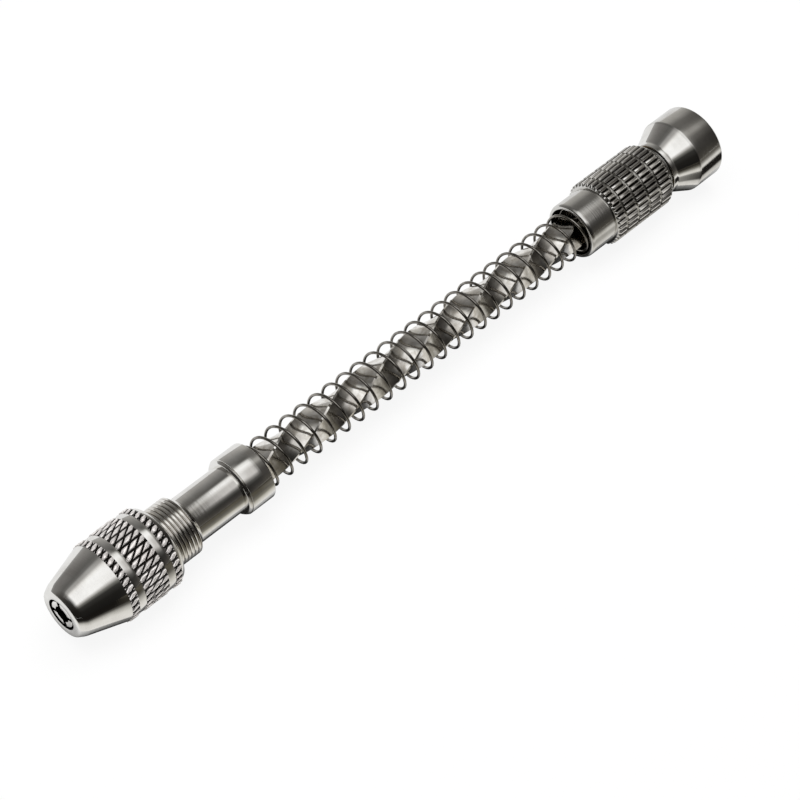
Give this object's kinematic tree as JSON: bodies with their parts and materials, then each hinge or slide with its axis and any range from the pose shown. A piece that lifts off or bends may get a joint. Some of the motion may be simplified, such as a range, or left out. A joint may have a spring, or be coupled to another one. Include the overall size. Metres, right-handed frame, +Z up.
{
  "type": "pin vise drill",
  "caption": "Hand push drill: a twisted square shaft, return spring and sliding knurled grip turn a collet chuck with a screw-on cap, under a free-turning end knob.",
  "frame": {"origin": "under the middle of the tool's length, on the surface that it lies on", "axes": "+X along the tool from the nose to the knob, +Z up from the surface, +Y to the side"},
  "size_m": [0.1548, 0.0152, 0.0152],
  "materials": {
    "bright_plate": "bright nickel plate",
    "collet_steel": "turned",
    "drawn_steel": "drawn and twisted",
    "dark_wire": "spring wire",
    "grip_steel": "satin plate",
    "brass": "turned",
    "hardware": "plain"
  },
  "bodies": {
    "spindle": {"chuck_body": "bright_plate", "spring_collar": "bright_plate", "shaft_pin": "hardware", "spiral_shaft": "drawn_steel", "return_spring": "dark_wire", "thrust_washer": "hardware", "knob_keeper": "hardware", "knob_screw": "hardware"},
    "collet": {"collet": "collet_steel"},
    "chuck_cap": {"chuck_cap": "bright_plate"},
    "spring_washer": {"spring_washer": "hardware"},
    "grip": {"grip_tube": "grip_steel", "drive_nut": "brass", "nut_pin_1": "hardware", "nut_pin_2": "hardware", "nut_pin_3": "hardware", "grip_sleeve": "grip_steel", "rear_guide": "brass"},
    "knob": {"end_knob": "bright_plate", "knob_bush": "brass", "end_disc": "bright_plate"}
  },
  "joints": [
    {"name": "grip_slide", "type": "slide", "parent": "spindle", "child": "spring_washer", "axis": [-1, 0, 0], "range_m": [0, 0.064], "stiffness_N_per_m": 60, "springref_m": -0.01, "deforming": ["return_spring"]},
    {"name": "grip_turn", "type": "hinge", "parent": "spring_washer", "child": "grip", "pos_m": [0.0648, 0, 0.0076], "axis": [1, 0, 0], "range_deg": [-2, 464]},
    {"name": "knob_swivel", "type": "hinge", "parent": "spindle", "child": "knob", "pos_m": [0.0659, 0, 0.0076], "axis": [1, 0, 0], "continuous": true},
    {"name": "collet_travel", "type": "slide", "parent": "spindle", "child": "collet", "axis": [-1, 0, 0], "range_m": [-0.0008, 0.0031]},
    {"name": "cap_turn", "type": "hinge", "parent": "collet", "child": "chuck_cap", "pos_m": [-0.0774, 0, 0.0076], "axis": [-1, 0, 0], "range_deg": [-360, 1440]}
  ],
  "couplings": [
    {"joint": "grip_turn", "follows": "grip_slide", "rad_per_m": 125.66},
    {"joint": "collet_travel", "follows": "cap_turn", "m_per_rad": 0.00011937}
  ]
}
